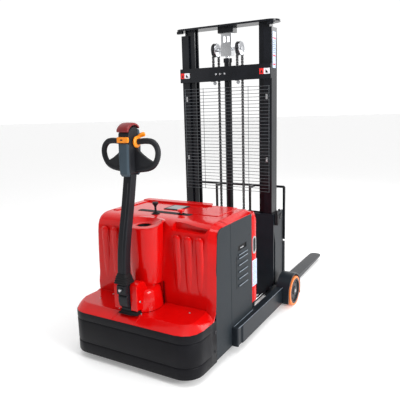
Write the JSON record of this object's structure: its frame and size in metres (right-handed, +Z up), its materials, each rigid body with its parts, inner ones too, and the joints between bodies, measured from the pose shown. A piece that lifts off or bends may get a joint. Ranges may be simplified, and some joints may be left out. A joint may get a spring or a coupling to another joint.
{
  "type": "walkie reach stacker",
  "caption": "Walk-behind electric reach stacker with tiller, hooded chassis, straddle legs and a two-stage mast that reaches and lifts a fork carriage.",
  "frame": {"origin": "on the floor, midway between the front of the bumper and the fork tips, on the centre plane of the legs", "axes": "+Z up, +Y along the forks towards their tips, +X to the operator's right"},
  "size_m": [1.09, 2.569, 2.108],
  "materials": {
    "red_moulding": "gloss",
    "slate_paint": "satin",
    "black_paint": "gloss",
    "mast_black": "semi-gloss",
    "tyre_black": "matte",
    "tread_orange": "satin",
    "chromed_rod": "polished",
    "plain_steel": "brushed",
    "cast_grey": "rough",
    "alloy": "cast",
    "grip_black": "matte",
    "slate_plastic": "satin",
    "orange_plastic": "gloss",
    "dark_red_plastic": "satin",
    "switch_red": "gloss",
    "case_black": "matte",
    "display_glass": "gloss",
    "wire_grey": "satin"
  },
  "bodies": {
    "root": {"chassis_frame": "black_paint", "bumper": "black_paint", "front_side_panels": "slate_paint", "rear_side_panels": "slate_paint", "hood_deck": "red_moulding", "hood_body": "red_moulding", "rear_cover": "red_moulding", "charging_socket": "case_black", "centre_column": "red_moulding", "cup_liner": "case_black", "battery": "case_black", "hydraulic_power_pack": "cast_grey", "motor_controller": "alloy", "display": "display_glass", "dash_fittings": "case_black", "leg_left": "black_paint", "leg_right": "black_paint", "reach_cylinders": "black_paint"},
    "drive_unit": {"drive_gearbox": "cast_grey", "traction_motor": "cast_grey", "steering_cover": "red_moulding", "tiller_bracket": "black_paint"},
    "drive_wheel": {"drive_wheel": "cast_grey", "drive_tyre": "tyre_black"},
    "tiller": {"tiller_tube": "black_paint", "tiller_head": "grip_black", "head_panels": "slate_plastic", "handle_loops": "grip_black"},
    "belly_button": {"belly_button": "dark_red_plastic"},
    "front_rocker": {"front_rocker": "orange_plastic"},
    "thumb_wheels": {"thumb_wheels": "orange_plastic"},
    "joystick": {"joystick": "case_black"},
    "estop_button": {"estop_button": "switch_red"},
    "load_wheel_left": {"load_wheel_left": "cast_grey", "load_tread_left": "tread_orange"},
    "load_wheel_right": {"load_wheel_right": "cast_grey", "load_tread_right": "tread_orange"},
    "caster_left": {"caster_fork_left": "plain_steel"},
    "caster_right": {"caster_fork_right": "plain_steel"},
    "caster_wheel_left": {"caster_wheel_left": "tyre_black"},
    "caster_wheel_right": {"caster_wheel_right": "tyre_black"},
    "outer_mast": {"reach_frame": "mast_black", "reach_rollers": "plain_steel", "reach_rods": "chromed_rod", "outer_mast_rails": "mast_black", "mast_cross_beam": "mast_black", "mesh_guard": "wire_grey", "lift_cylinder": "mast_black", "rear_chains": "plain_steel"},
    "inner_mast": {"inner_mast_rails": "mast_black", "top_plate": "mast_black", "lift_rod": "chromed_rod", "front_chains": "plain_steel", "chain_wraps": "plain_steel"},
    "chain_pulleys": {"chain_pulleys": "cast_grey"},
    "carriage": {"carriage": "mast_black", "carriage_rollers": "plain_steel", "load_backrest": "mast_black"},
    "fork_left": {"fork_left": "black_paint"},
    "fork_right": {"fork_right": "black_paint"}
  },
  "joints": [
    {"name": "steer", "type": "hinge", "parent": "root", "child": "drive_unit", "pos_m": [-0.03, -1.0855, 0.34], "axis": [0, 0, 1], "range_deg": [-75, 75]},
    {"name": "drive_spin", "type": "hinge", "parent": "drive_unit", "child": "drive_wheel", "pos_m": [-0.03, -1.0855, 0.115], "axis": [1, 0, 0], "continuous": true},
    {"name": "tiller_tilt", "type": "hinge", "parent": "drive_unit", "child": "tiller", "pos_m": [-0.03, -1.2415, 0.484], "axis": [1, 0, 0], "range_deg": [0, 75], "stiffness_Nm_per_rad": 70, "springref_deg": -51.57},
    {"name": "belly_press", "type": "slide", "parent": "tiller", "child": "belly_button", "axis": [0, -0.0175, -0.9998], "range_m": [0, 0.006], "stiffness_N_per_m": 1500, "springref_m": -0.004},
    {"name": "rocker_tilt", "type": "hinge", "parent": "tiller", "child": "front_rocker", "pos_m": [-0.03, -1.18018, 1.34693], "axis": [1, 0, 0], "range_deg": [-3, 3], "stiffness_Nm_per_rad": 1.5},
    {"name": "thumb_turn", "type": "hinge", "parent": "tiller", "child": "thumb_wheels", "pos_m": [-0.03, -1.11836, 1.33585], "axis": [1, 0, 0], "range_deg": [-30, 30], "stiffness_Nm_per_rad": 0.8},
    {"name": "joystick_tilt", "type": "hinge", "parent": "root", "child": "joystick", "pos_m": [-0.073, -0.8405, 0.86], "axis": [1, 0, 0], "range_deg": [-12, 12], "stiffness_Nm_per_rad": 2},
    {"name": "estop_press", "type": "slide", "parent": "root", "child": "estop_button", "axis": [0, 0, -1], "range_m": [0, 0.004]},
    {"name": "load_wheel_spin_left", "type": "hinge", "parent": "root", "child": "load_wheel_left", "pos_m": [-0.516, 0.0805, 0.113], "axis": [1, 0, 0], "continuous": true},
    {"name": "caster_swivel_left", "type": "hinge", "parent": "root", "child": "caster_left", "pos_m": [-0.305, -1.1105, 0.25], "axis": [0, 0, 1], "continuous": true},
    {"name": "caster_spin_left", "type": "hinge", "parent": "caster_left", "child": "caster_wheel_left", "pos_m": [-0.305, -1.0745, 0.062], "axis": [1, 0, 0], "continuous": true},
    {"name": "load_wheel_spin_right", "type": "hinge", "parent": "root", "child": "load_wheel_right", "pos_m": [0.516, 0.0805, 0.113], "axis": [1, 0, 0], "continuous": true},
    {"name": "caster_swivel_right", "type": "hinge", "parent": "root", "child": "caster_right", "pos_m": [0.305, -1.1105, 0.25], "axis": [0, 0, 1], "continuous": true},
    {"name": "caster_spin_right", "type": "hinge", "parent": "caster_right", "child": "caster_wheel_right", "pos_m": [0.305, -1.0745, 0.062], "axis": [1, 0, 0], "continuous": true},
    {"name": "reach", "type": "slide", "parent": "root", "child": "outer_mast", "axis": [0, 1, 0], "range_m": [-0.38, 0]},
    {"name": "lift", "type": "slide", "parent": "outer_mast", "child": "inner_mast", "axis": [0, 0, 1], "range_m": [0, 1.18], "deforming": ["rear_chains"]},
    {"name": "carriage_lift", "type": "slide", "parent": "inner_mast", "child": "carriage", "axis": [0, 0, 1], "range_m": [0, 1.18], "deforming": ["front_chains"]},
    {"name": "pulley_spin", "type": "hinge", "parent": "inner_mast", "child": "chain_pulleys", "pos_m": [0, 0.0745, 1.938], "axis": [1, 0, 0], "range_deg": [0, 1539]},
    {"name": "fork_shift_left", "type": "slide", "parent": "carriage", "child": "fork_left", "axis": [1, 0, 0], "range_m": [0, 0.055]},
    {"name": "fork_shift_right", "type": "slide", "parent": "carriage", "child": "fork_right", "axis": [1, 0, 0], "range_m": [-0.055, 0]}
  ],
  "couplings": [
    {"joint": "carriage_lift", "follows": "lift", "ratio": 1},
    {"joint": "pulley_spin", "follows": "lift", "rad_per_m": 22.727}
  ]
}
